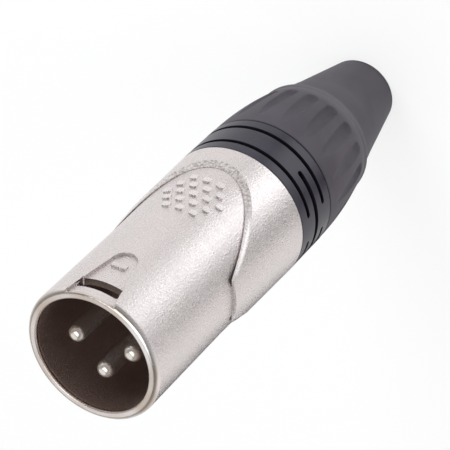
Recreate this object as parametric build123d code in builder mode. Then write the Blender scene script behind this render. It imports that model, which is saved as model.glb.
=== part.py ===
from build123d import *
from math import cos, sin
import os

# Three-pole cable plug, 19 mm male shell with a screwed-on rear end. All sizes are in millimetres.
# It stands on the end of its boot with the open mouth up, the axis on Z and the latch window on -Y.
# Places along the axis are given as a depth behind the rim of the mouth, as on a turner's drawing.
os.makedirs("parts", exist_ok=True)

# Driving sizes
total_length = 73.0
shell_length = 35.5
ring_length = 7.8
thread_length = 6.3
insert_depth = 15.5
mouth_radius = 9.5
shell_wall = 1.35
cheek_rise = 0.82

# Clearances
running_gap = 0.08
face_gap = 0.1
parting_gap = 0.2
cone_gap = 0.2
press_gap = 0.01

# Where the pieces meet along the axis
ring_front_depth = shell_length + face_gap
ring_rear_depth = ring_front_depth + ring_length
boot_front_depth = ring_rear_depth + parting_gap
boot_length = total_length - boot_front_depth
neck_depth = shell_length - thread_length
insert_rear_depth = neck_depth - 4.2

# Shell
collar_radius = mouth_radius + cheek_rise
bore_radius = mouth_radius - shell_wall
seat_radius = bore_radius + 0.45
thread_radius = collar_radius - 1.44
rim_round = 0.75
rim_chamfer = 0.15
cheek_front_radius = mouth_radius + 0.5
cheek_front_depth = shell_length - 17.1
cheek_root = 0.4
arch_floor_rise = 0.35
arch_apex_depth = cheek_front_depth + 12.9
arch_half_width = mouth_radius - 0.25
arch_shoulder = (0.84 * arch_half_width, cheek_front_depth + 7.5)
arch_bevel_height = 0.43
arch_bevel_width = 1.1

# Latch window in its sunk tongue
tongue_sink = 0.4
tongue_rim_half = 3.5
tongue_end_half = 1.85
tongue_length = 9.7
window_front_depth = 1.6
window_width = 1.8
window_half = 2.95
window_corner = 0.4
stop_bar_depth = 7.0
stop_bar_length = 2.1
stop_bar_width = 0.8
stop_bar_height = 0.3

# Thumb pips inside the arch
pip_size = 1.1
pip_corner = 0.3
pip_height = 0.2
pip_pitch = 2.0
pip_centre_depth = arch_apex_depth - 6.5
pip_rows = (3, 4, 5, 4, 3)

# Contacts
pin_circle_radius = 0.4253 * mouth_radius
pin_angles = (0, 180, 90)
pin_radius = 1.2
pin_dome = 0.95
pin_tip_depth = 2.3
pin_shank_radius = 1.5
pin_heel_radius = 1.75
pin_heel_depth = (insert_depth + insert_rear_depth) / 2
cup_radius = 1.5
cup_bore_radius = 1.05
cup_start_depth = insert_rear_depth + 1.0
cup_end_depth = cup_start_depth + 4.6
cup_floor = 0.6
cup_mouth_length = 3.2

# Insert that carries the contacts
flange_depth = insert_depth + 0.42 * (insert_rear_depth - insert_depth)
insert_core_radius = seat_radius - 0.9

# Earth lug in a notch of the insert, on +Y
lug_width = 2.4
lug_thickness = 0.4
lug_plane = seat_radius - 0.85
lug_tail_plane = pin_circle_radius + pin_heel_radius + 0.26
lug_front_depth = insert_depth + 1.1
lug_step_depth = insert_rear_depth - 0.5
lug_bow_depth = lug_front_depth + 0.576 * (lug_step_depth - lug_front_depth)
lug_bow_run = 0.177 * (lug_step_depth - lug_front_depth)
lug_bow_height = 0.33
lug_rear_depth = insert_rear_depth + 2.1
lug_hole_radius = 0.6

# Bushing, with the threaded neck and the hard core of the boot
neck_radius = thread_radius - running_gap
neck_bore_radius = neck_radius - 1.55
neck_lead = 0.4
core_round_depth = boot_front_depth + 0.116 * boot_length
core_waist = (neck_radius - 1.4, boot_front_depth + 0.388 * boot_length)
core_tail = (neck_radius - 3.4, boot_front_depth + 0.626 * boot_length)
core_end_depth = boot_front_depth + 0.762 * boot_length
throat_radius = core_tail[0] - 1.1
throat_depth = core_waist[1] + 0.068 * boot_length

# Boot
boot_front_radius = collar_radius - 0.05
boot_bulge = (boot_front_radius - 0.37, boot_front_depth + 0.235 * boot_length)
boot_ridge = (boot_front_radius - 1.42, boot_front_depth + 0.442 * boot_length)
boot_waist = (boot_front_radius - 2.92, boot_front_depth + 0.633 * boot_length)
bead_height = 0.12
bead_length = 1.0
nose_front_radius = boot_ridge[0] - 0.4
boot_bore_radius = throat_radius - 0.2
boot_end_radius = boot_bore_radius + 1.1
boot_end_round = 0.7
flute_count = 18
flute_radius = 1.25
flute_start = (boot_front_radius - 0.09, boot_front_depth + 0.075 * boot_length)
flute_stop = (boot_front_radius - 1.45, boot_front_depth + 0.36 * boot_length)

# Chuck that grips the cable
chuck_front_depth = insert_rear_depth + face_gap
chuck_head_radius = seat_radius - cone_gap
chuck_head_bore = chuck_head_radius - 0.9
chuck_head_end = neck_depth - 0.6
chuck_funnel_depth = (2 * chuck_front_depth + neck_depth) / 3
chuck_shank_radius = neck_bore_radius - 0.25
chuck_shank_end = neck_depth + 4.8
chuck_throat_radius = chuck_shank_radius - 1.0
chuck_tail_radius = 0.8 * chuck_shank_radius
chuck_tail_depth = core_round_depth
chuck_grip_radius = boot_bore_radius
chuck_grip_depth = (chuck_shank_end + chuck_tail_depth) / 2
jaw_slit = 1.2

# Slots of the coding ring
slot_width = 0.7
short_slot_width = 0.85
slot_sink = 1.0
slot_pitch = 0.256 * ring_length
slot_bridge_deg = 25.0
short_slot_deg = 84.0
ring_round = 0.15


def at(radius, depth):
    """A point of a half section: distance from the axis, and depth behind the rim."""
    return (radius, total_length - depth)


def half_section(*points):
    """The face to the right of the axis that a turned piece is revolved from, given by its corners."""
    with BuildSketch(Plane.XZ) as section:
        with BuildLine():
            Polyline(*points, close=True)
        make_face()
    return section.sketch


def slot_cutter(arc, width):
    """A slot of the coding ring, centred on +X at height 0, with round ends."""
    with BuildPart() as cutter:
        with BuildSketch(Plane.XZ) as cross:
            with Locations((collar_radius, 0)):
                Rectangle(2 * slot_sink, width)
        revolve(cross.sketch, axis=Axis.Z, revolution_arc=arc)
        for end in (0, arc):
            with Locations(Rot(Z=end) * Pos(collar_radius, 0, 0) * Rot(Y=90)):
                Cylinder(width / 2, 2 * slot_sink)
    return Rot(Z=-arc / 2) * cutter.part


# Cheeks of the shell: the thicker rear, cut away in front and behind by a pointed arch.
# The arch is drawn from the front and pulled straight through, as the die that casts it opens.
with BuildPart() as cheeks:
    profile = half_section(
        at(mouth_radius - cheek_root, cheek_front_depth),
        at(cheek_front_radius, cheek_front_depth),
        at(collar_radius, shell_length),
        at(mouth_radius - cheek_root, shell_length),
    )
    revolve(profile, axis=Axis.Z)
    with BuildSketch(Plane.XZ):
        with BuildLine():
            flank = Bezier(
                at(0, arch_apex_depth),
                at(0.52 * arch_half_width, arch_apex_depth),
                at(*arch_shoulder),
                at(arch_half_width, cheek_front_depth),
            )
            mirror(flank, about=Plane.YZ)
            Polyline(
                at(arch_half_width, cheek_front_depth),
                at(arch_half_width, cheek_front_depth - 1),
                at(-arch_half_width, cheek_front_depth - 1),
                at(-arch_half_width, cheek_front_depth),
            )
        make_face()
    extrude(amount=2 * mouth_radius, both=True, mode=Mode.SUBTRACT)
    arch_edges = cheeks.edges().filter_by(GeomType.BSPLINE).sort_by(Axis.Y)
    chamfer([arch_edges[0], arch_edges[-1]], length=arch_bevel_height, length2=arch_bevel_width)

# The shallow tongue around the latch window narrows towards the rear and ends round.
with BuildPart() as tongue_cut:
    with BuildSketch(Plane.XZ):
        shoulder_depth = tongue_length - tongue_end_half
        with BuildLine():
            Polyline(
                at(tongue_end_half, shoulder_depth),
                at(tongue_rim_half, 0),
                at(tongue_rim_half, -1),
                at(-tongue_rim_half, -1),
                at(-tongue_rim_half, 0),
                at(-tongue_end_half, shoulder_depth),
            )
            ThreePointArc(
                at(-tongue_end_half, shoulder_depth),
                at(0, tongue_length),
                at(tongue_end_half, shoulder_depth),
            )
        make_face()
    extrude(amount=2 * mouth_radius)
    Cylinder(mouth_radius - tongue_sink, 3 * total_length, mode=Mode.SUBTRACT)

# Shell, one zinc casting: the mouth tube, the cheeks, the latch window and the thumb pips.
with BuildPart() as shell:
    profile = half_section(
        at(bore_radius + rim_chamfer, 0),
        at(mouth_radius, 0),
        at(mouth_radius, cheek_front_depth),
        at(mouth_radius + arch_floor_rise, shell_length),
        at(thread_radius, shell_length),
        at(thread_radius, neck_depth - 0.8),
        at(seat_radius, neck_depth - 1.2),
        at(seat_radius, insert_depth),
        at(bore_radius, insert_depth),
        at(bore_radius, rim_chamfer),
    )
    revolve(profile, axis=Axis.Z)
    rim_edges = shell.edges().filter_by_position(Axis.Z, total_length, total_length)
    fillet(rim_edges.sort_by(SortBy.LENGTH)[-1], rim_round)
    add(cheeks.part)
    add(tongue_cut.part, mode=Mode.SUBTRACT)
    window_middle = total_length - window_front_depth - window_width / 2
    with BuildSketch(Plane.XZ):
        with Locations((0, window_middle)):
            RectangleRounded(2 * window_half, window_width, window_corner)
    extrude(amount=2 * mouth_radius, mode=Mode.SUBTRACT)
    with Locations((0, -mouth_radius + tongue_sink, total_length - stop_bar_depth)):
        Box(stop_bar_length, 2 * stop_bar_height, stop_bar_width)
    for row, count in enumerate(pip_rows):
        depth = pip_centre_depth + (row - (len(pip_rows) - 1) / 2) * pip_pitch * 0.87
        share_of_rise = (depth - cheek_front_depth) / (shell_length - cheek_front_depth)
        floor_radius = mouth_radius + arch_floor_rise * share_of_rise
        for place in range(count):
            turn = (place - (count - 1) / 2) * pip_pitch / floor_radius
            outward = Vector(sin(turn), -cos(turn), 0)
            foot = outward * (floor_radius - pip_height) + Vector(0, 0, total_length - depth)
            with BuildSketch(Plane(origin=foot, x_dir=(0, 0, 1), z_dir=outward)):
                RectangleRounded(pip_size, pip_size, pip_corner)
            extrude(amount=2 * pip_height)
shell.part.label = "shell"
export_step(shell.part, "parts/shell.step")

# Insert: the moulded disc that the contacts are pressed into, with a notch for the earth lug.
with BuildPart() as insert:
    profile = half_section(
        at(0, insert_depth + press_gap),
        at(seat_radius - press_gap, insert_depth + press_gap),
        at(seat_radius - press_gap, flange_depth),
        at(insert_core_radius, flange_depth),
        at(insert_core_radius, insert_rear_depth),
        at(0, insert_rear_depth),
    )
    revolve(profile, axis=Axis.Z)
    with BuildSketch(Plane.XY.offset(total_length - insert_rear_depth)):
        for angle in pin_angles:
            with Locations(Rot(Z=angle) * Pos(pin_circle_radius, 0)):
                Circle(pin_shank_radius + press_gap)
    extrude(amount=insert_rear_depth, mode=Mode.SUBTRACT)
    with BuildSketch(Plane.XY.offset(total_length - insert_rear_depth)):
        for angle in pin_angles:
            with Locations(Rot(Z=angle) * Pos(pin_circle_radius, 0)):
                Circle(pin_heel_radius + press_gap)
    extrude(amount=insert_rear_depth - pin_heel_depth + press_gap, mode=Mode.SUBTRACT)
    notch = half_section(
        at(lug_plane - press_gap, lug_front_depth - press_gap),
        at(2 * seat_radius, lug_front_depth - press_gap),
        at(2 * seat_radius, insert_rear_depth + 1),
        at(lug_tail_plane - press_gap, insert_rear_depth + 1),
        at(lug_tail_plane - press_gap, lug_step_depth - press_gap),
        at(lug_plane - press_gap, lug_step_depth - press_gap),
    )
    extrude(Rot(Z=90) * notch, amount=lug_width / 2 + press_gap, both=True, mode=Mode.SUBTRACT)
insert.part.label = "insert"
export_step(insert.part, "parts/insert.step")

# Contact: a turned pin with a domed tip, a thicker heel, and a solder cup that is open outwards.
with BuildPart() as contact:
    profile = half_section(
        at(0, pin_tip_depth),
        at(pin_radius, pin_tip_depth),
        at(pin_radius, insert_depth),
        at(pin_shank_radius, insert_depth),
        at(pin_shank_radius, pin_heel_depth),
        at(pin_heel_radius, pin_heel_depth),
        at(pin_heel_radius, cup_start_depth),
        at(cup_radius, cup_start_depth),
        at(cup_radius, cup_end_depth),
        at(cup_bore_radius, cup_end_depth),
        at(cup_bore_radius, cup_start_depth + cup_floor),
        at(0, cup_start_depth + cup_floor),
    )
    revolve(profile, axis=Axis.Z)
    fillet(contact.edges().sort_by(Axis.Z)[-1], pin_dome)
    with Locations((cup_radius, 0, total_length - cup_end_depth)):
        Box(2 * cup_radius, 2 * cup_radius, 2 * cup_mouth_length, mode=Mode.SUBTRACT)
for number, angle in enumerate(pin_angles, start=1):
    placed = Rot(Z=angle) * Pos(pin_circle_radius, 0, 0) * contact.part
    placed.label = f"contact_{number}"
    export_step(placed, f"parts/contact_{number}.step")

# Earth lug: a folded strip in the notch of the insert. Its bow presses on the bore of the shell.
with BuildPart() as earth_lug:
    strip = half_section(
        at(lug_plane + lug_thickness, lug_front_depth),
        at(lug_plane + lug_thickness, lug_bow_depth - lug_bow_run),
        at(lug_plane + lug_thickness + lug_bow_height, lug_bow_depth),
        at(lug_plane + lug_thickness, lug_bow_depth + lug_bow_run),
        at(lug_plane + lug_thickness, lug_step_depth + lug_thickness),
        at(lug_tail_plane + lug_thickness, lug_step_depth + lug_thickness),
        at(lug_tail_plane + lug_thickness, lug_rear_depth),
        at(lug_tail_plane, lug_rear_depth),
        at(lug_tail_plane, lug_step_depth),
        at(lug_plane, lug_step_depth),
        at(lug_plane, lug_bow_depth + lug_bow_run),
        at(lug_plane + lug_bow_height, lug_bow_depth),
        at(lug_plane, lug_bow_depth - lug_bow_run),
        at(lug_plane, lug_front_depth),
    )
    extrude(Rot(Z=90) * strip, amount=lug_width / 2, both=True)
    with Locations((0, lug_tail_plane, total_length - lug_rear_depth + lug_width / 2)):
        Cylinder(lug_hole_radius, 3 * lug_thickness, rotation=(90, 0, 0), mode=Mode.SUBTRACT)
earth_lug.part.label = "earth_lug"
export_step(earth_lug.part, "parts/earth_lug.step")

# Chuck: a sleeve behind the insert whose four jaws taper into the cone of the bushing.
with BuildPart() as chuck:
    profile = half_section(
        at(chuck_head_bore, chuck_front_depth),
        at(chuck_head_radius, chuck_front_depth),
        at(chuck_head_radius, chuck_head_end),
        at(chuck_shank_radius, chuck_head_end),
        at(chuck_shank_radius, chuck_shank_end),
        at(chuck_tail_radius, chuck_tail_depth),
        at(chuck_grip_radius, chuck_tail_depth),
        at(chuck_grip_radius, chuck_grip_depth),
        at(chuck_throat_radius, chuck_shank_end),
        at(chuck_throat_radius, neck_depth),
        at(chuck_head_bore, chuck_funnel_depth),
    )
    revolve(profile, axis=Axis.Z)
    with Locations((0, 0, total_length - chuck_tail_depth)):
        slit_length = 2 * (chuck_tail_depth - chuck_shank_end)
        Box(jaw_slit, 2 * chuck_head_radius, slit_length, mode=Mode.SUBTRACT)
        Box(2 * chuck_head_radius, jaw_slit, slit_length, mode=Mode.SUBTRACT)
chuck.part.label = "chuck"
export_step(chuck.part, "parts/chuck.step")

# Coding ring: three rows of slots around it, the middle row set against the bridges of the others.
with BuildPart() as coding_ring:
    profile = half_section(
        at(neck_radius + running_gap, ring_front_depth),
        at(collar_radius, ring_front_depth),
        at(collar_radius, ring_rear_depth),
        at(neck_radius + running_gap, ring_rear_depth),
    )
    revolve(profile, axis=Axis.Z)
    ends = coding_ring.edges().group_by(Axis.Z)
    fillet(ends[0].sort_by(SortBy.LENGTH)[-1], ring_round)
    fillet(coding_ring.edges().group_by(Axis.Z)[-1].sort_by(SortBy.LENGTH)[-1], ring_round)
    middle = total_length - (ring_front_depth + ring_rear_depth) / 2
    for turn in (0, 180):
        short_slot = slot_cutter(short_slot_deg, short_slot_width)
        add(Pos(0, 0, middle) * Rot(Z=turn) * short_slot, mode=Mode.SUBTRACT)
        for row in (-1, 1):
            long_slot = slot_cutter(180 - slot_bridge_deg, slot_width)
            place = Pos(0, 0, middle + row * slot_pitch) * Rot(Z=turn + 90)
            add(place * long_slot, mode=Mode.SUBTRACT)
coding_ring.part.label = "coding_ring"
export_step(coding_ring.part, "parts/coding_ring.step")

# Bushing: the threaded neck that the shell screws onto, one moulding with the core inside the boot.
with BuildPart() as bushing:
    profile = half_section(
        at(neck_bore_radius, neck_depth),
        at(neck_radius - neck_lead, neck_depth),
        at(neck_radius, neck_depth + neck_lead),
        at(neck_radius, core_round_depth),
        at(*core_waist),
        at(*core_tail),
        at(core_tail[0], core_end_depth),
        at(throat_radius, core_end_depth),
        at(throat_radius, throat_depth),
        at(chuck_tail_radius + cone_gap, chuck_tail_depth + cone_gap),
        at(neck_bore_radius, chuck_shank_end),
    )
    revolve(profile, axis=Axis.Z)
bushing.part.label = "bushing"
export_step(bushing.part, "parts/bushing.step")

# One flute of the boot: a round-ended gouge that starts shallow and deepens towards the cable.
with BuildPart() as flute:
    run = Vector(flute_start[0] - flute_stop[0], 0, flute_stop[1] - flute_start[1])
    heel = Vector(flute_stop[0] + flute_radius, 0, total_length - flute_stop[1])
    with BuildSketch(Plane(origin=heel, z_dir=run)):
        Circle(flute_radius)
    extrude(amount=2 * run.length)
    with Locations(heel):
        Sphere(flute_radius)

# Boot: soft cover moulded over the core, fluted for grip, with a ridge and a plain nose.
with BuildPart() as boot:
    with BuildSketch(Plane.XZ) as section:
        with BuildLine():
            ThreePointArc(at(boot_front_radius, boot_front_depth), at(*boot_bulge), at(*boot_ridge))
            ThreePointArc(
                at(*boot_ridge),
                at(boot_ridge[0] + bead_height, boot_ridge[1] + bead_length / 3),
                at(nose_front_radius, boot_ridge[1] + bead_length),
            )
            Polyline(
                at(nose_front_radius, boot_ridge[1] + bead_length),
                at(*boot_waist),
                at(boot_end_radius, total_length),
                at(boot_bore_radius, total_length),
                at(boot_bore_radius, core_end_depth),
                at(core_tail[0], core_end_depth),
                at(*core_tail),
                at(*core_waist),
                at(neck_radius, core_round_depth),
                at(neck_radius, boot_front_depth),
                at(boot_front_radius, boot_front_depth),
            )
        make_face()
    revolve(axis=Axis.Z)
    rear_edges = boot.edges().group_by(Axis.Z)[0]
    fillet(rear_edges.sort_by(SortBy.LENGTH)[-1], boot_end_round)
    front_edges = boot.edges().group_by(Axis.Z)[-1]
    fillet(front_edges.sort_by(SortBy.LENGTH)[-1], ring_round)
    with PolarLocations(0, flute_count):
        add(flute.part, mode=Mode.SUBTRACT)
boot.part.label = "boot"
export_step(boot.part, "parts/boot.step")
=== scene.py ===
# %% [markdown]
# # A cable plug on a white table
# This lesson dresses a finished CAD model of a three-pole audio plug: a cast metal shell with
# three pins inside its mouth, a black slotted ring, and a black boot with a fluted grip. The CAD
# gives the shapes. What is left to Blender is what the eye checks first: the satin metal with its
# fine blasted grain, the matt black mouldings, the light, and small details that are too fine for
# the CAD.

# %% Load the frame
import math

import bmesh
import bpy
from mathutils import Matrix, Quaternion, Vector


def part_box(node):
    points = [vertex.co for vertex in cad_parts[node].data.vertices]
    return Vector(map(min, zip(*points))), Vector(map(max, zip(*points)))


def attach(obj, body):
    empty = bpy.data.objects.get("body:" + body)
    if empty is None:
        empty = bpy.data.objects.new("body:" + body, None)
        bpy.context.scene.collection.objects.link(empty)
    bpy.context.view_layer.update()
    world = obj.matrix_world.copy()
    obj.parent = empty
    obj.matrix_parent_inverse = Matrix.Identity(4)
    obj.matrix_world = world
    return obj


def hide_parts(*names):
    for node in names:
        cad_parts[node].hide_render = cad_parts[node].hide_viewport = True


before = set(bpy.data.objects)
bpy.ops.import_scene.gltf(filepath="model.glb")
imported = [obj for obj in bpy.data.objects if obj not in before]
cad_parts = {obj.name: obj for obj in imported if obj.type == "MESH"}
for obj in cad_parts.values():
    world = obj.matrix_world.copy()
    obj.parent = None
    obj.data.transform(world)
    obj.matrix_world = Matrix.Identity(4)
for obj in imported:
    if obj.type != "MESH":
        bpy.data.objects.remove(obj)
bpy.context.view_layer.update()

MM = 0.001
MM_PER_METRE = 1000.0


# %% [markdown]
# ## The camera
# The plug stands on the end of its boot, but the picture shows it lying across the view with the
# mouth towards us. Turning the object would break the frame that all its parts share, so the
# camera leans over instead: it looks down into the mouth with a long lens, and is rolled until the
# axis runs from the lower left to the upper right. At 29 cm the mouth still looks larger than the
# boot, as in the picture, and the long lens fills the frame with the plug from there.

# %% Camera
aim = Vector((1.06, 1.44, 38.24)) * MM
camera_azimuth = math.radians(-126.04)
camera_elevation = math.radians(45.89)
camera_distance = 291.4 * MM
camera_roll = math.radians(-134.46)
lens_length = 173.7
sensor_width = 36

towards_camera = Vector((
    math.cos(camera_elevation) * math.cos(camera_azimuth),
    math.cos(camera_elevation) * math.sin(camera_azimuth),
    math.sin(camera_elevation),
))
camera_data = bpy.data.cameras.new("camera")
camera_data.lens = lens_length
camera_data.sensor_width = sensor_width
camera_data.clip_start = 0.01
camera_data.clip_end = 10
camera = bpy.data.objects.new("camera", camera_data)
bpy.context.scene.collection.objects.link(camera)
camera.rotation_mode = "QUATERNION"
camera.location = aim + towards_camera * camera_distance
roll = Quaternion((0, 0, 1), camera_roll)
camera.rotation_quaternion = towards_camera.to_track_quat("Z", "Y") @ roll
bpy.context.scene.camera = camera
bpy.context.scene.view_settings.view_transform = "Standard"
turn = camera.rotation_quaternion.to_matrix()
photo_right, photo_up = turn.col[0].copy(), turn.col[1].copy()
print("camera at mm:", [round(value / MM, 1) for value in camera.location])

# %% [markdown]
# ## Helpers for shader nodes
# Every finish below is a small tree of nodes. They could be clicked together in the shader editor,
# but as code they can be read, changed and made again. Four helpers keep the cells short: one adds
# a node and fills its sockets, one joins an output to an input, one does a sum, and one carries a
# value from one range to another.

# %% Node helpers
def add_node(tree, kind, settings=(), **values):
    """A node of this kind. Settings are its own options, and values fill its input sockets."""
    node = tree.nodes.new(kind)
    for name, value in dict(settings).items():
        setattr(node, name, value)
    for name, value in values.items():
        node.inputs[name.replace("_", " ")].default_value = value
    return node


def join(tree, output, target):
    """Links the output of one node to an input of another."""
    tree.links.new(output, target)


def maths(tree, operation, first, second=None, third=None, clamp=False):
    """A math node. An operand is a number or the output of another node."""
    node = add_node(tree, "ShaderNodeMath", {"operation": operation, "use_clamp": clamp})
    for place, operand in enumerate((first, second, third)):
        if operand is None:
            continue
        if isinstance(operand, (int, float)):
            node.inputs[place].default_value = operand
        else:
            join(tree, operand, node.inputs[place])
    return node.outputs[0]


def add_range(tree, value, from_low, from_high, low, high):
    """A value that goes from low to high while another goes through its range, and stops there."""
    node = add_node(
        tree, "ShaderNodeMapRange", From_Min=from_low, From_Max=from_high, To_Min=low, To_Max=high
    )
    join(tree, value, node.inputs["Value"])
    return node.outputs["Result"]


def empty_material(name):
    """A new material without nodes, and its tree."""
    material = bpy.data.materials.new(name)
    material.use_nodes = True
    material.node_tree.nodes.clear()
    return material, material.node_tree


print("node helpers ready")

# %% [markdown]
# ## The room that the metal mirrors
# Satin metal shows its surroundings more than its own colour. In an evenly white room it looks
# flat, like card, and a photographer breaks that up with screens. Here two bright stretches of
# wall face each other across the table, and the room between them is dimmer. They are a sum of the
# direction alone, so the same bands serve for the walls and for the far part of the floor.

# %% Room bands
band_across_x, band_across_y = 0.77, -0.64
band_sharpness = 6.0
band_gain = 0.8
level_between_bands = 0.62


def room_bands(tree, direction):
    """How bright the room is towards a direction, and how far that direction points up."""
    split = add_node(tree, "ShaderNodeSeparateXYZ")
    join(tree, direction, split.inputs[0])
    along = maths(tree, "MULTIPLY", split.outputs["X"], band_across_x)
    along = maths(tree, "MULTIPLY_ADD", split.outputs["Y"], band_across_y, along)
    band = maths(tree, "POWER", maths(tree, "ABSOLUTE", along), band_sharpness)
    return maths(tree, "MULTIPLY_ADD", band, band_gain, level_between_bands), split.outputs["Z"]


print("room level between bands:", level_between_bands)

# %% [markdown]
# ## White floor
# The picture is cut out on white. A floor that is lit until it turns white would flood the plug
# with light, so only the rays from the camera see plain white here, and with them the rays that
# mirror-like surfaces send out, because metal has to show a bright room. The floor keeps a share
# of real white paint around the plug, and that share carries the plug's shadow. To the metal the
# floor is even near the plug and takes on the bands of the room further out.

# %% Floor
floor_half = 1.5
floor_white = (0.86, 0.86, 0.86, 1)
shadow_start, shadow_end = 0.08, 0.5
white_share_near = 0.76
mirror_level_near = 0.87
bands_start, bands_end = 0.12, 0.30


def seen_directly(tree, path):
    """1 for a ray from the camera, also after it has passed through something clear."""
    return maths(
        tree, "MAXIMUM", path.outputs["Is Camera Ray"], path.outputs["Is Transmission Ray"]
    )


def white_to_the_eye(tree, shader, share, mirror_level):
    """Mixes a share of plain white into a shader, for camera, glossy and transmission rays only."""
    path = add_node(tree, "ShaderNodeLightPath")
    seen = seen_directly(tree, path)
    mirrored = maths(tree, "MULTIPLY", path.outputs["Is Glossy Ray"], mirror_level)
    seen = maths(tree, "MAXIMUM", seen, mirrored)
    white = add_node(tree, "ShaderNodeEmission", Color=(1, 1, 1, 1), Strength=1.0)
    mix = add_node(tree, "ShaderNodeMixShader")
    join(tree, maths(tree, "MULTIPLY", seen, share), mix.inputs[0])
    join(tree, shader, mix.inputs[1])
    join(tree, white.outputs[0], mix.inputs[2])
    return mix.outputs[0]


floor_mesh = bpy.data.meshes.new("floor")
floor_mesh.from_pydata(
    [(x * floor_half, y * floor_half, 0) for x, y in ((-1, -1), (1, -1), (1, 1), (-1, 1))],
    [],
    [(0, 1, 2, 3)],
)
floor = bpy.data.objects.new("floor", floor_mesh)
bpy.context.scene.collection.objects.link(floor)
floor_paint, tree = empty_material("floor_paint")
paint = add_node(tree, "ShaderNodeBsdfDiffuse", Color=floor_white)
spot = add_node(tree, "ShaderNodeTexCoord").outputs["Object"]
length = add_node(tree, "ShaderNodeVectorMath", {"operation": "LENGTH"})
join(tree, spot, length.inputs[0])
from_plug = length.outputs["Value"]
white_share = add_range(tree, from_plug, shadow_start, shadow_end, white_share_near, 1.0)
outward = add_node(tree, "ShaderNodeVectorMath", {"operation": "NORMALIZE"})
join(tree, spot, outward.inputs[0])
far_bands, _ = room_bands(tree, outward.outputs["Vector"])
far_share = add_range(tree, from_plug, bands_start, bands_end, 0.0, 1.0)
far_change = maths(tree, "SUBTRACT", far_bands, mirror_level_near)
mirror_level = maths(tree, "MULTIPLY_ADD", far_share, far_change, mirror_level_near)
plain_white = white_to_the_eye(tree, paint.outputs[0], white_share, mirror_level)
join(tree, plain_white, add_node(tree, "ShaderNodeOutputMaterial").inputs["Surface"])
floor_mesh.materials.append(floor_paint)
print("floor half width in m:", floor_half)

# %% [markdown]
# ## White room
# The world stands for walls and ceiling. The camera sees it white. Metal sees the bands, and a
# ceiling that is dimmer than the walls, as in a studio whose lamps hang lower than its roof. All
# other rays find an even, modest light that fills the shadows.

# %% World
horizon_height, horizon_level = 0.05, 0.95
ceiling_height, ceiling_level = 0.85, 0.35
room_light = 0.55

world = bpy.data.worlds.new("white_room")
world.use_nodes = True
bpy.context.scene.world = world
tree = world.node_tree
tree.nodes.clear()
path = add_node(tree, "ShaderNodeLightPath")
seen = seen_directly(tree, path)
walls, upward = room_bands(tree, add_node(tree, "ShaderNodeTexCoord").outputs["Generated"])
dimming = add_range(tree, upward, horizon_height, ceiling_height, horizon_level, ceiling_level)
room = maths(tree, "MULTIPLY", dimming, walls)
mirrored = maths(tree, "MULTIPLY", path.outputs["Is Glossy Ray"], room)
not_mirrored = maths(tree, "SUBTRACT", 1.0, path.outputs["Is Glossy Ray"])
plain_light = maths(tree, "MULTIPLY", not_mirrored, room_light)
strength = maths(tree, "MAXIMUM", maths(tree, "MAXIMUM", seen, mirrored), plain_light)
sky = add_node(tree, "ShaderNodeBackground", Color=(1, 1, 1, 1))
join(tree, strength, sky.inputs["Strength"])
join(tree, sky.outputs[0], add_node(tree, "ShaderNodeOutputWorld").inputs["Surface"])
print("room light:", room_light)

# %% [markdown]
# ## Lamps
# Four soft boxes light the plug as on a photographer's table: a key from the upper left, a fill
# from the right, one overhead and a weak one behind. The key and the fill would print white
# squares on the metal, so they are left out of its reflections. The side of a standing cylinder
# mirrors the table around its foot, so the long bright streak along the shell comes from a light
# strip that lies on the table in front of it, outside the picture.

# %% Soft boxes and strip
cool_white = (0.90, 0.96, 1.0)
strip_height = 1.0 * MM


def area_lamp(name, place, target, size, power):
    """A rectangular lamp at a place, facing a target. Size is width and height in metres."""
    data = bpy.data.lights.new(name, "AREA")
    data.shape = "RECTANGLE"
    data.size, data.size_y = size
    data.energy = power
    lamp = bpy.data.objects.new(name, data)
    bpy.context.scene.collection.objects.link(lamp)
    lamp.location = place
    lamp.rotation_mode = "QUATERNION"
    lamp.rotation_quaternion = (place - target).to_track_quat("Z", "Y")
    lamp.visible_camera = False
    return lamp


def in_picture(right, up, forward, distance):
    """A place seen from the aim point: so far to the right, up and towards us in the picture."""
    direction = photo_right * right + photo_up * up + towards_camera * forward
    return aim + direction.normalized() * distance


def floor_strip(name, azimuth, start, end, width, power):
    """A light strip that lies on the table, runs away from the plug and shows in its metal only."""
    out = Vector((math.cos(math.radians(azimuth)), math.sin(math.radians(azimuth)), 0))
    middle = out * ((start + end) / 2) + Vector((0, 0, strip_height))
    lamp = area_lamp(name, middle, middle - Vector((0, 0, 1)), (width, end - start), power)
    face_up = Quaternion((1, 0, 0), math.pi)
    lamp.rotation_quaternion = Quaternion((0, 0, 1), math.radians(azimuth - 90)) @ face_up
    lamp.visible_diffuse = False
    return lamp


key_box = area_lamp(
    "key_box", in_picture(right=-0.75, up=0.85, forward=0.7, distance=0.6), aim,
    size=(0.35, 0.35), power=2.6,
)
fill_box = area_lamp(
    "fill_box", in_picture(right=0.9, up=-0.2, forward=0.9, distance=0.7), aim,
    size=(0.4, 0.4), power=2.0,
)
top_box = area_lamp("top_box", Vector((0, 0, 0.7)), aim, size=(0.5, 0.5), power=1.5)
back_box = area_lamp("back_box", Vector((0.37, 0.51, 0.65)), aim, size=(0.55, 0.55), power=0.62)
streak_strip = floor_strip(
    "streak_strip", azimuth=-130, start=26 * MM, end=105 * MM, width=25 * MM, power=0.0078
)
for lamp in (key_box, streak_strip):
    lamp.data.color = cool_white
for lamp in (key_box, fill_box):
    lamp.visible_glossy = False
print("lamps:", [lamp.name for lamp in (key_box, fill_box, top_box, back_box, streak_strip)])

# %% [markdown]
# ## Black cards
# A photographer also lays black cards beside a shiny thing, because metal needs something dark to
# mirror or it looks like paper. Three cards lie on the table here: a broad one on each side of the
# plug for its shaded flanks, and a narrow one in front for the dark line beside the streak. They
# are seen in its surface only, so they neither show in a picture nor throw a shadow.

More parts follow.
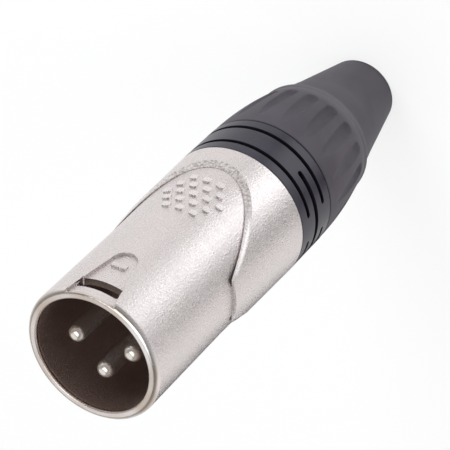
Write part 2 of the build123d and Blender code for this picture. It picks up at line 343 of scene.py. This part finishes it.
# %% Cards
card_start, card_end = 22 * MM, 150 * MM
card_height = 0.5 * MM

card_black, tree = empty_material("card_black")
black = add_node(tree, "ShaderNodeBsdfDiffuse", Color=(0.02, 0.02, 0.02, 1))
join(tree, black.outputs[0], add_node(tree, "ShaderNodeOutputMaterial").inputs["Surface"])


def black_card(name, azimuth, half_angle):
    """A wedge of card on the table, pointing away from the plug, that only metal and gloss see."""
    corners = []
    for reach, side in ((card_start, -1), (card_end, -1), (card_end, 1), (card_start, 1)):
        angle = math.radians(azimuth + side * half_angle)
        corners.append((reach * math.cos(angle), reach * math.sin(angle), card_height))
    mesh = bpy.data.meshes.new(name)
    mesh.from_pydata(corners, [], [(0, 1, 2, 3)])
    mesh.materials.append(card_black)
    card = bpy.data.objects.new(name, mesh)
    bpy.context.scene.collection.objects.link(card)
    card.visible_camera = False
    card.visible_diffuse = False
    card.visible_shadow = False
    return card


side_card = black_card("side_card", azimuth=-176, half_angle=9)
back_card = black_card("back_card", azimuth=84, half_angle=17)
front_card = black_card("front_card", azimuth=-97, half_angle=3)
print("cards:", side_card.name, back_card.name, front_card.name)

# %% [markdown]
# ## Grain
# The shell is cast zinc, blasted with fine beads and then plated with nickel, so its surface is a
# field of tiny dents that break a highlight into sparkle. The black parts have the skin of a
# mould: softer and flatter. Dents modelled one by one would need millions of faces, and a picture
# of them would repeat, so both are noise, read at the real size of the grain. A node group holds
# the noise, and every material takes it with its own values.

# %% Grain group
def new_group(name, inputs, outputs):
    """An empty node group. Inputs are (name, default) pairs, and outputs are names."""
    group = bpy.data.node_groups.new(name, "ShaderNodeTree")
    sockets = group.interface
    for label, default in inputs:
        socket = sockets.new_socket(name=label, in_out="INPUT", socket_type="NodeSocketFloat")
        socket.default_value = default
    for label in outputs:
        sockets.new_socket(name=label, in_out="OUTPUT", socket_type="NodeSocketFloat")
    return group, group.nodes.new("NodeGroupInput"), group.nodes.new("NodeGroupOutput")


def noise_at(tree, spot, scale, **values):
    """Noise over the surface, at a scale in repeats for each metre."""
    noise = add_node(tree, "ShaderNodeTexNoise", **values)
    join(tree, spot, noise.inputs["Vector"])
    join(tree, scale, noise.inputs["Scale"])
    return noise.outputs["Fac"]


speck_low, speck_high = 0.33, 0.67
patch_low, patch_high = 0.3, 0.7

grain_group, given, result = new_group(
    "blasted_grain",
    [("Dents per mm", 5.0), ("Patch size mm", 8.0)],
    ["Height", "Sparkle", "Patches"],
)
spot = add_node(grain_group, "ShaderNodeTexCoord").outputs["Object"]
dent_scale = maths(grain_group, "MULTIPLY", given.outputs["Dents per mm"], MM_PER_METRE)
patch_scale = maths(grain_group, "DIVIDE", MM_PER_METRE, given.outputs["Patch size mm"])
dents = noise_at(grain_group, spot, dent_scale, Detail=3.0, Roughness=0.6)
specks = noise_at(grain_group, spot, dent_scale, Detail=1.0)
patches = noise_at(grain_group, spot, patch_scale, Detail=2.0)
sparkle = add_range(grain_group, specks, speck_low, speck_high, 0.0, 1.0)
for effect, label in ((dents, "Height"), (sparkle, "Sparkle"), (patches, "Patches")):
    join(grain_group, effect, result.inputs[label])
print("grain group:", [socket.name for socket in result.inputs if socket.name])

# %% [markdown]
# ## Edges
# Blasting and handling round the edges of a casting, and a rounded edge catches the light or,
# facing the other way, draws a thin dark line. Painting such edges by hand would have to be done
# again after each change. The Bevel node gives the normal that a rounded edge would have, and
# where it departs from the real normal, there is an edge. The shell paints by this mask: a painted
# highlight on most edges, and painted shade on the edges at the top of the arch.

# %% Edge group
edge_gain = 4.0

edge_group, given, result = new_group("edge_mask", [("Width mm", 0.2)], ["Mask"])
rounded = add_node(edge_group, "ShaderNodeBevel", {"samples": 4})
edge_width = maths(edge_group, "MULTIPLY", given.outputs["Width mm"], MM)
join(edge_group, edge_width, rounded.inputs["Radius"])
facing = add_node(edge_group, "ShaderNodeNewGeometry")
agree = add_node(edge_group, "ShaderNodeVectorMath", {"operation": "DOT_PRODUCT"})
join(edge_group, rounded.outputs[0], agree.inputs[0])
join(edge_group, facing.outputs["Normal"], agree.inputs[1])
departure = maths(edge_group, "SUBTRACT", 1.0, agree.outputs["Value"])
edge_mask = maths(edge_group, "MULTIPLY", departure, edge_gain, clamp=True)
join(edge_group, edge_mask, result.inputs["Mask"])
print("edge mask gain:", edge_gain)

# %% [markdown]
# ## Crevices
# Shade gathers where two faces meet, and the finishes paint it into their colour. The crevice mask
# looks a fraction of a millimetre around each point and tells how closed in it is, which draws the
# thin dark lines of painted shade along steps and slots.

# %% Crevice group
closed_share = 0.3

crevice_group, given, result = new_group(
    "crevice_mask", [("Reach mm", 0.5), ("Open share", 0.75)], ["Mask"]
)
openness = add_node(crevice_group, "ShaderNodeAmbientOcclusion", {"samples": 8})
look_around = maths(crevice_group, "MULTIPLY", given.outputs["Reach mm"], MM)
join(crevice_group, look_around, openness.inputs["Distance"])
closed = add_node(crevice_group, "ShaderNodeMapRange", From_Max=closed_share)
join(crevice_group, given.outputs["Open share"], closed.inputs["From Min"])
join(crevice_group, openness.outputs["AO"], closed.inputs["Value"])
join(crevice_group, closed.outputs["Result"], result.inputs["Mask"])
print("groups:", [group.name for group in bpy.data.node_groups])

# %% [markdown]
# ## Tools for a finish
# A real finish changes from place to place: bright where hands touch, dark where nothing reaches.
# Masks say where, and colours are blended by them. Masks could be painted on the model, but here a
# place is known by its height along the plug and its distance from the axis, so a mask is a sum of
# those. Heights and distances are in millimetres, and heights are counted from the boot's end.

# %% Finish helpers
def use_group(tree, group, **values):
    """One of the groups above, with its own values."""
    return add_node(tree, "ShaderNodeGroup", {"node_tree": group}, **values)


def above(tree, value, level, softness=0.1):
    """A mask that grows from 0 to 1 while a value rises past a level."""
    return add_range(tree, value, level, level + softness, 0.0, 1.0)


def below(tree, value, level, softness=0.1):
    """A mask that grows from 0 to 1 while a value falls past a level."""
    return add_range(tree, value, level, level - softness, 0.0, 1.0)


def outside(tree, mask):
    """The rest of the surface, where a mask is not."""
    return maths(tree, "SUBTRACT", 1.0, mask)


def all_of(tree, first, *others):
    """A mask of the places that are in every one of these masks."""
    for other in others:
        first = maths(tree, "MULTIPLY", first, other)
    return first


def blend_colours(tree, factor, first, second):
    """A colour between two others. A colour is three numbers or the output of another node."""
    node = add_node(tree, "ShaderNodeMix", {"data_type": "RGBA"})
    join(tree, factor, node.inputs["Factor"])
    # A Mix node has sockets called A, B and Result for each kind of data. These are the colours.
    first_colour, second_colour, blended = node.inputs[6], node.inputs[7], node.outputs[2]
    for socket, colour in ((first_colour, first), (second_colour, second)):
        if isinstance(colour, tuple):
            socket.default_value = (*colour, 1)
        else:
            join(tree, colour, socket)
    return blended


def place_on_plug(tree):
    """A point's distance from the plug's axis, its height, and its distance to the side, in mm."""
    split = add_node(tree, "ShaderNodeSeparateXYZ")
    join(tree, add_node(tree, "ShaderNodeTexCoord").outputs["Object"], split.inputs[0])
    squares = maths(tree, "MULTIPLY", split.outputs["X"], split.outputs["X"])
    squares = maths(tree, "MULTIPLY_ADD", split.outputs["Y"], split.outputs["Y"], squares)
    distance = maths(tree, "MULTIPLY", maths(tree, "SQRT", squares), MM_PER_METRE)
    height = maths(tree, "MULTIPLY", split.outputs["Z"], MM_PER_METRE)
    sideways = maths(tree, "ABSOLUTE", maths(tree, "MULTIPLY", split.outputs["X"], MM_PER_METRE))
    return distance, height, sideways


def finish_material(tree, colour, roughness, dents, bump, depth, metallic, softness, gloss=0.5):
    """Ends a material: a Principled shader with this colour, roughness, bump and softened edges."""
    shader = add_node(tree, "ShaderNodeBsdfPrincipled", Metallic=metallic, Specular_IOR_Level=gloss)
    join(tree, colour, shader.inputs["Base Color"])
    join(tree, roughness, shader.inputs["Roughness"])
    dented = add_node(tree, "ShaderNodeBump", Strength=bump, Distance=depth)
    join(tree, dents, dented.inputs["Height"])
    soft_edges = add_node(tree, "ShaderNodeBevel", {"samples": 6})
    if isinstance(softness, float):
        soft_edges.inputs["Radius"].default_value = softness
    else:
        join(tree, softness, soft_edges.inputs["Radius"])
    join(tree, soft_edges.outputs[0], dented.inputs["Normal"])
    join(tree, dented.outputs[0], shader.inputs["Normal"])
    join(tree, shader.outputs[0], add_node(tree, "ShaderNodeOutputMaterial").inputs["Surface"])


print("finish helpers ready")

# %% [markdown]
# ## Where the shell changes
# The shell is one casting with several skins. Outside it is blasted. Inside the mouth it is left
# as cast, where plating is thin and little light comes back. The face at the back of the window is
# painted dark brown as painted shade. The rim is rubbed by every socket that it enters. A pitted
# band runs along the top of the arch, and a painted highlight along its lower flanks, where the die
# left a crisp chamfer. The up-facing steps of the tongue carry a painted highlight too. One
# material covers them all, with a mask for each.

# %% Places on the shell
cheek_front, ring_end = 54.6, 37.5
bore_radius = 8.30
rim_foot = 72.35
window_bottom, window_top = 69.0, 70.5
window_tilt = 0.7
band_end, band_tilt = 54.2, 0.12
step_start, step_tilt = 53.3, 0.3

nickel, tree = empty_material("satin_nickel")
distance, height, sideways = place_on_plug(tree)
upright = add_node(tree, "ShaderNodeSeparateXYZ")
join(tree, add_node(tree, "ShaderNodeNewGeometry").outputs["True Normal"], upright.inputs[0])
facing_up = upright.outputs["Z"]

bore = below(tree, distance, bore_radius)
window_edge = all_of(
    tree,
    above(tree, facing_up, window_tilt),
    above(tree, height, window_bottom),
    below(tree, height, window_top),
)
inside = maths(tree, "MAXIMUM", bore, window_edge)
rim = above(tree, height, rim_foot, softness=0.25)
band = all_of(
    tree,
    above(tree, facing_up, band_tilt, softness=0.18),
    below(tree, height, band_end, softness=1.0),
)
tongue_step = all_of(
    tree,
    above(tree, facing_up, step_tilt, softness=0.2),
    above(tree, height, step_start, softness=0.3),
)
print("rim foot at mm:", rim_foot, "bore radius in mm:", bore_radius)

# %% [markdown]
# ## Thumb pips
# Small square pips give the thumb a hold. Their tops are painted lighter, a painted highlight, so
# they need a mask of their own. They stand 0.2 mm proud of the hollow between the cheeks, whose
# radius grows towards the ring, and fill a six-sided field in front of the arch. The field also
# keeps the finish of the arch off them.

# %% Pips and arch
hollow_radii, cheek_radii = (9.50, 9.85), (10.0, 10.32)
pip_low, pip_high = 0.10, 0.42
field_middle = 48.2
field_half_width, field_half_height = 4.9, 4.2
field_slope = 0.575
arch_top_end = 48.5
line_start, line_end = 45.0, 54.0
line_near, line_far = 0.02, 0.20

hollow = add_range(tree, height, cheek_front, ring_end, *hollow_radii)
proud = maths(tree, "SUBTRACT", distance, hollow)
raised = all_of(
    tree, above(tree, proud, pip_low, softness=0.05), below(tree, proud, pip_high, softness=0.02)
)
from_middle = maths(tree, "ABSOLUTE", maths(tree, "SUBTRACT", height, field_middle))
slanted = maths(tree, "MULTIPLY_ADD", from_middle, field_slope, sideways)
pip_field = all_of(
    tree, below(tree, slanted, field_half_width), below(tree, from_middle, field_half_height)
)
pips = all_of(tree, raised, pip_field)
off_field = outside(tree, pip_field)
arch_top = all_of(tree, below(tree, height, arch_top_end, softness=2.0), off_field)
cheek = add_range(tree, height, cheek_front, ring_end, *cheek_radii)
under_cheek = maths(tree, "SUBTRACT", cheek, distance)
chamfer_highlight_mask = all_of(
    tree,
    above(tree, under_cheek, line_near, softness=0.06),
    below(tree, under_cheek, line_far, softness=0.06),
    off_field,
    above(tree, height, line_start, softness=2.5),
    below(tree, height, line_end, softness=0.6),
)
print("pip field in mm:", 2 * field_half_width, "by", 2 * field_half_height)

# %% [markdown]
# ## Colours of the shell
# Nickel is a warm grey. Each colour is laid over the one before, from the blasted ground to the
# brown of the bore, as a painter would. The sparkle picks between two greys that lie close
# together, so that the grain is seen near by and melts into satin from a step away.

# %% Shell colours
nickel_greys = (0.712, 0.653, 0.646), (0.740, 0.680, 0.673)
pitted_greys = (0.42, 0.385, 0.378), (0.82, 0.76, 0.75)
pip_highlight_grey = (0.82, 0.77, 0.76)
edge_highlight, edge_shade = (0.90, 0.87, 0.86), (0.30, 0.27, 0.26)
edge_paint_share = 0.8
chamfer_highlight = (0.90, 0.86, 0.85)
step_highlight = (0.92, 0.88, 0.87)
painted_shade_brown = (0.13, 0.105, 0.10)
painted_shade_from, painted_shade_to = 52.5, 53.5
painted_shade_behind, painted_shade_front = 0.06, 0.40
rubbed_from = 0.40
rim_greys = (0.56, 0.48, 0.42), (0.80, 0.76, 0.745)
bore_brown, window_shade_brown = (0.58, 0.455, 0.41), (0.15, 0.11, 0.095)

grain = use_group(tree, grain_group, Dents_per_mm=4.2, Patch_size_mm=9.0)
coarse = use_group(tree, grain_group, Dents_per_mm=3.0, Patch_size_mm=4.0)
crevices = use_group(tree, crevice_group, Reach_mm=0.45).outputs["Mask"]
edges = use_group(tree, edge_group, Width_mm=0.14).outputs["Mask"]

blasted = blend_colours(tree, grain.outputs["Sparkle"], *nickel_greys)
pitted = blend_colours(tree, coarse.outputs["Sparkle"], *pitted_greys)
outer = blend_colours(tree, band, blasted, pitted)
# The pip tops are painted lighter: a painted highlight.
outer = blend_colours(tree, pips, outer, pip_highlight_grey)
# Edges are painted: a painted highlight on open edges, and painted shade on those at the top of the
# arch.
open_edge = maths(tree, "SUBTRACT", edges, crevices, clamp=True)
edge_highlight_and_shade = blend_colours(tree, arch_top, edge_highlight, edge_shade)
outer = blend_colours(tree, maths(tree, "MULTIPLY", open_edge, edge_paint_share), outer, edge_highlight_and_shade)
# Painted highlight along the chamfer on the lower flanks of the arch.
outer = blend_colours(tree, chamfer_highlight_mask, outer, chamfer_highlight)
# Painted highlight on the up-facing steps of the tongue.
outer = blend_colours(tree, tongue_step, outer, step_highlight)
# Painted shade in the crevices: strong from the tongue to the mouth, faint behind it.
painted_shade_share = add_range(tree, height, painted_shade_from, painted_shade_to, painted_shade_behind, painted_shade_front)
outer = blend_colours(tree, maths(tree, "MULTIPLY", crevices, painted_shade_share), outer, painted_shade_brown)
rubbed = above(tree, grain.outputs["Patches"], rubbed_from, softness=0.18)
outer = blend_colours(tree, rim, outer, blend_colours(tree, rubbed, *rim_greys))
# The face at the back of the window is painted dark brown: painted shade that makes the opening
# look deep.
inner = blend_colours(tree, window_edge, bore_brown, window_shade_brown)
shell_colour = blend_colours(tree, inside, outer, inner)
print("shell greys:", nickel_greys)

# %% [markdown]
# ## Roughness and dents of the shell
# The bottoms of the dents are smoother than the ridges between them, so the sparkle also lowers
# the roughness. The rim is nearly polished and has no dents, and the bore is duller than the
# outside. The dents are bump, and the Bevel node rounds the edges of the casting in the same
# normal.

# %% Shell surface
roughness_drift = 0.03
ridge_roughness, dent_roughness = 0.37, 0.24
rim_polish, bore_dullness = -0.12, 0.12
pit_depth = 1.2
dent_depth = 0.085 * MM
edge_softness, rim_softness = 0.15 * MM, 0.1 * MM

patches = grain.outputs["Patches"]
drift = add_range(tree, patches, patch_low, patch_high, -roughness_drift, roughness_drift)
roughness = add_range(tree, grain.outputs["Sparkle"], 0.0, 1.0, ridge_roughness, dent_roughness)
roughness = maths(tree, "ADD", drift, roughness)
roughness = maths(tree, "MULTIPLY_ADD", rim, rim_polish, roughness)
roughness = maths(tree, "MULTIPLY_ADD", inside, bore_dullness, roughness)
dents = maths(tree, "MULTIPLY", grain.outputs["Height"], outside(tree, rim))
pits = maths(tree, "MULTIPLY", coarse.outputs["Height"], band)
dents = maths(tree, "MULTIPLY_ADD", pits, pit_depth, dents)
softness = maths(tree, "MULTIPLY_ADD", rim, rim_softness, edge_softness)
finish_material(
    tree, shell_colour, roughness, dents,
    bump=1.0, depth=dent_depth, metallic=1.0, softness=softness,
)
print("made", nickel.name)

# %% [markdown]
# ## Black mouldings, silver, tin and acetal
# The boot is soft and matt, and its ridge is painted lighter: rubbed grey by fingers, and a painted
# highlight along the bead. The ring and the parts inside are hard nylon. The pins are turned and
# silver plated, the earth lug is tinned strip, and the chuck is natural white acetal. They differ
# in values more than in kind, so one function makes them all.

# %% Moulded and plated finishes
patch_size = 6.0
crevice_shade = 0.15
skin_depth = 0.04 * MM
smoother_by, rougher_by = 0.04, 0.05


def moulding(
    name, dark, light, roughness, dents_per_mm, bump,
    metallic=0.0, softness=0.05 * MM, gloss=0.5, reach=0.6, open_share=0.75, lighter_ridge=None,
):
    """A moulded or plated finish: a colour that drifts a little, with grain and painted shade in
    its crevices.

    Lighter ridge is the height of a ridge painted lighter by wear and a painted highlight, half its
    width and its colour."""
    material, tree = empty_material(name)
    grain = use_group(tree, grain_group, Dents_per_mm=dents_per_mm, Patch_size_mm=patch_size)
    crevices = use_group(tree, crevice_group, Reach_mm=reach, Open_share=open_share)
    patches = grain.outputs["Patches"]
    drift = add_range(tree, patches, patch_low, patch_high, 0.0, 1.0)
    colour = blend_colours(tree, drift, dark, light)
    if lighter_ridge:
        ridge_height, half_width, ridge_tone = lighter_ridge
        _, height, _ = place_on_plug(tree)
        from_ridge = maths(tree, "ABSOLUTE", maths(tree, "SUBTRACT", height, ridge_height))
        # The ridge is painted lighter: rubbed wear and a painted highlight.
        rubbed = add_range(tree, from_ridge, 0.0, half_width, 1.0, 0.0)
        colour = blend_colours(tree, rubbed, colour, ridge_tone)
    # Painted shade in the crevices.
    shade = tuple(crevice_shade * part for part in dark)
    colour = blend_colours(tree, crevices.outputs["Mask"], colour, shade)
    smooth, rough = roughness - smoother_by, roughness + rougher_by
    roughness = add_range(tree, patches, patch_low, patch_high, smooth, rough)
    finish_material(
        tree, colour, roughness, grain.outputs["Height"],
        bump, skin_depth, metallic, softness, gloss,
    )
    return material


boot_rubber = moulding(
    "boot_rubber", (0.048, 0.041, 0.051), (0.072, 0.063, 0.076),
    roughness=0.60, dents_per_mm=2.5, bump=0.25, softness=0.45 * MM, gloss=0.3,
    reach=1.6, open_share=0.92, lighter_ridge=(16.4, 1.9, (0.104, 0.095, 0.107)),
)
ring_nylon = moulding(
    "ring_nylon", (0.024, 0.021, 0.029), (0.034, 0.030, 0.042),
    roughness=0.32, dents_per_mm=4.0, bump=0.12, gloss=0.27, reach=1.2, open_share=0.88,
)
dark_nylon = moulding(
    "dark_nylon", (0.072, 0.051, 0.048), (0.100, 0.074, 0.069),
    roughness=0.42, dents_per_mm=3.0, bump=0.15,
)
pin_silver = moulding(
    "pin_silver", (0.76, 0.70, 0.64), (0.84, 0.79, 0.74),
    roughness=0.25, dents_per_mm=6.0, bump=0.02, metallic=0.93,
)
neck_nylon = moulding(
    "neck_nylon", (0.024, 0.022, 0.027), (0.036, 0.033, 0.040),
    roughness=0.38, dents_per_mm=4.0, bump=0.10, gloss=0.45,
)
lug_tin = moulding(
    "lug_tin", (0.62, 0.61, 0.58), (0.74, 0.73, 0.70),
    roughness=0.36, dents_per_mm=5.0, bump=0.10, metallic=1.0,
)
chuck_acetal = moulding(
    "chuck_acetal", (0.78, 0.76, 0.70), (0.84, 0.82, 0.77),
    roughness=0.40, dents_per_mm=2.0, bump=0.10,
)
print("materials:", len(bpy.data.materials))

# %% [markdown]
# ## Dressing the CAD pieces
# Each piece of the CAD model is an object with a material of its own. The finish takes that
# material's place, and the shape is left alone.

# %% Dress the pieces
finishes = {
    "shell": nickel,
    "insert": dark_nylon,
    "contact_1": pin_silver,
    "contact_2": pin_silver,
    "contact_3": pin_silver,
    "earth_lug": lug_tin,
    "chuck": chuck_acetal,
    "coding_ring": ring_nylon,
    "bushing": neck_nylon,
    "boot": boot_rubber,
}
for node_name, material in finishes.items():
    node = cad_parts[node_name]
    node.data.materials.clear()
    node.data.materials.append(material)
print("dressed", len(finishes), "nodes")

# %% [markdown]
# ## The threaded neck
# When the boot is screwed off, its neck comes into view, and the CAD model has that neck plain.
# The real one has a thread of 1 mm pitch moulded on it. A screw modifier could make it, but its
# ends would stick out as stubs. A thread is also a lathe shape whose radius depends on the angle:
# going once round, its ridge climbs by one pitch. So the radius is a small sum of height and
# angle, which lets the thread run out smoothly at its foot and lead in at its top.

# %% Thread profile
thread_pitch = 1.0
thread_depth = 0.4
neck_radius = 8.8
neck_top = 43.8
thread_foot = 30.2
run_out = 0.8
lead_in = 0.4
ridge_end = 0.75
flank = 0.5


def thread_radius(height, turn):
    """Radius of the neck in mm at a height in mm and a share of a turn."""
    place = (height / thread_pitch - turn) % 1
    off_ridge = abs(place - 0.5) * 2
    ridge = min(max((ridge_end - off_ridge) / flank, 0), 1)
    depth = thread_depth * min(max((height - thread_foot) / run_out, 0), 1)
    lead = neck_radius - lead_in + (neck_top - height)
    return min(neck_radius - depth * (1 - ridge), lead)


print("thread turns:", round((neck_top - thread_foot) / thread_pitch, 1))

# %% Threaded bushing
steps_round = 120
thread_rows = 168
sharp_angle = math.radians(25)
core_outline = [
    (8.8, 25.99), (7.4, 17.99), (5.4, 11.0), (5.4, 7.0), (4.3, 7.0),
    (4.3, 15.99), (5.8, 25.79), (7.25, 39.0), (7.25, neck_top),
]


def ring_of_points(height, radius_at):
    """Points once round the axis at a height, with a radius looked up for each share of a turn."""
    ring = []
    for step in range(steps_round):
        angle = 2 * math.pi * step / steps_round
        radius = radius_at(step / steps_round)
        ring.append((radius * math.cos(angle) * MM, radius * math.sin(angle) * MM, height * MM))
    return ring


points = []
for row in range(thread_rows + 1):
    height = neck_top - (neck_top - thread_foot) * row / thread_rows
    points += ring_of_points(height, lambda turn: thread_radius(height, turn))
for radius, height in core_outline:
    points += ring_of_points(height, lambda turn: radius)
rings = len(points) // steps_round
faces = []
for ring in range(rings):
    following = (ring + 1) % rings
    for step in range(steps_round):
        beside = (step + 1) % steps_round
        faces.append((
            ring * steps_round + step,
            following * steps_round + step,
            following * steps_round + beside,
            ring * steps_round + beside,
        ))
bushing_mesh = bpy.data.meshes.new("threaded_bushing")
bushing_mesh.from_pydata(points, [], faces)
bushing_mesh.polygons.foreach_set("use_smooth", [True] * len(faces))
bushing_mesh.set_sharp_from_angle(angle=sharp_angle)
bushing_mesh.materials.append(neck_nylon)
threaded_bushing = bpy.data.objects.new("threaded_bushing", bushing_mesh)
bpy.context.scene.collection.objects.link(threaded_bushing)
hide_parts("bushing")
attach(threaded_bushing, "boot_body")
print("bushing faces:", len(faces))

# %% [markdown]
# ## Pin numbers
# Inside the mouth, the moulded insert carries a small raised number beside each pin, so that
# whoever solders the cable knows which is which. Text objects give their shapes and, with a little
# extrusion, their thickness. The three become one mesh, because they are part of one moulding.

# %% Raised numbers
number_size = 2.0 * MM
half_thickness = 0.08 * MM
middle_above_face = 0.06 * MM
number_radius = 6.75 * MM

insert_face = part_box("insert")[1].z
number_mesh = bpy.data.meshes.new("pin_numbers")
gathered = bmesh.new()
for digit, (x, y) in (("1", (1, 0)), ("2", (-1, 0)), ("3", (0, 1))):
    letters = bpy.data.curves.new("digit_" + digit, "FONT")
    letters.body = digit
    letters.size = number_size
    letters.extrude = half_thickness
    letters.align_x = "CENTER"
    letters.align_y = "CENTER"
    shape = bpy.data.objects.new("digit_" + digit, letters)
    raised_digit = bpy.data.meshes.new_from_object(shape)
    place = (x * number_radius, y * number_radius, insert_face + middle_above_face)
    raised_digit.transform(Matrix.Translation(place))
    gathered.from_mesh(raised_digit)
    bpy.data.meshes.remove(raised_digit)
    bpy.data.objects.remove(shape)
gathered.to_mesh(number_mesh)
gathered.free()
number_mesh.materials.append(dark_nylon)
pin_numbers = bpy.data.objects.new("pin_numbers", number_mesh)
bpy.context.scene.collection.objects.link(pin_numbers)
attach(pin_numbers, "shell_body")
print("number faces:", len(number_mesh.polygons))
